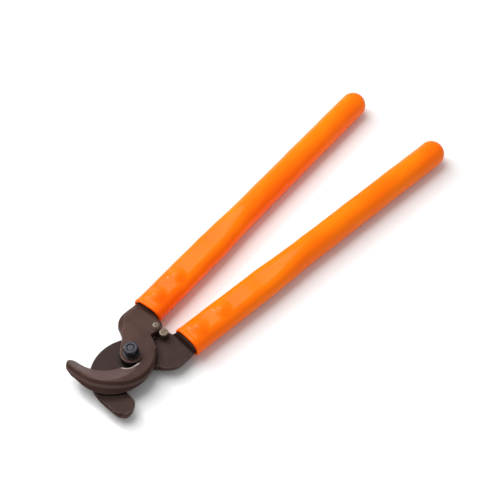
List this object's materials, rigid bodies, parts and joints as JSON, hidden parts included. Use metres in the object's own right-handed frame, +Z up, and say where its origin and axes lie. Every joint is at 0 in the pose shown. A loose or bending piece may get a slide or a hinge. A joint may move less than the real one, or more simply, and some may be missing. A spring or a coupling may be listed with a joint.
{
  "type": "cable shears",
  "caption": "Two-handed cable shears with hooked overlapping blades on a bolted pivot and long straight handles covered in smooth dipped insulation.",
  "frame": {"origin": "on the pivot axis, in the plane the tool lies on (the underside of the pivot bolt's low head)", "axes": "+X from the pivot towards the handle ends along the middle of the closed tool, +Z up along the pivot axis from the bolt head to the nut, +Y towards the handle of the upper lever"},
  "size_m": [0.496, 0.1458, 0.0349],
  "materials": {
    "forged_steel": "blackened drop-forged steel, satin, with soft worn edges",
    "dark_steel": "blued steel fastener, semi-gloss",
    "raw_steel": "bare steel, lightly oxidised",
    "tube_steel": "zinc-plated tube steel",
    "base_insulation": "dipped PVC inner layer in a contrasting colour",
    "orange_insulation": "dipped PVC outer layer, smooth and glossy",
    "plug_plastic": "moulded plastic"
  },
  "bodies": {
    "lower_arm": {"lower_lever": "forged_steel", "pivot_bolt": "dark_steel", "pivot_washer": "dark_steel", "pivot_disc_spring": "dark_steel", "pivot_nut": "dark_steel", "lower_stop_pin": "raw_steel", "lower_handle_tube": "tube_steel", "lower_handle_rivets": "raw_steel", "lower_base_layer": "base_insulation", "lower_grip_sleeve": "orange_insulation", "lower_end_plug": "plug_plastic"},
    "upper_arm": {"upper_lever": "forged_steel", "upper_stop_pin": "raw_steel", "upper_handle_tube": "tube_steel", "upper_handle_rivets": "raw_steel", "upper_base_layer": "base_insulation", "upper_grip_sleeve": "orange_insulation", "upper_end_plug": "plug_plastic"}
  },
  "joints": [
    {"name": "pivot", "type": "hinge", "parent": "lower_arm", "child": "upper_arm", "pos_m": [0, 0, 0.015], "axis": [0, 0, 1], "range_deg": [0, 112]}
  ]
}
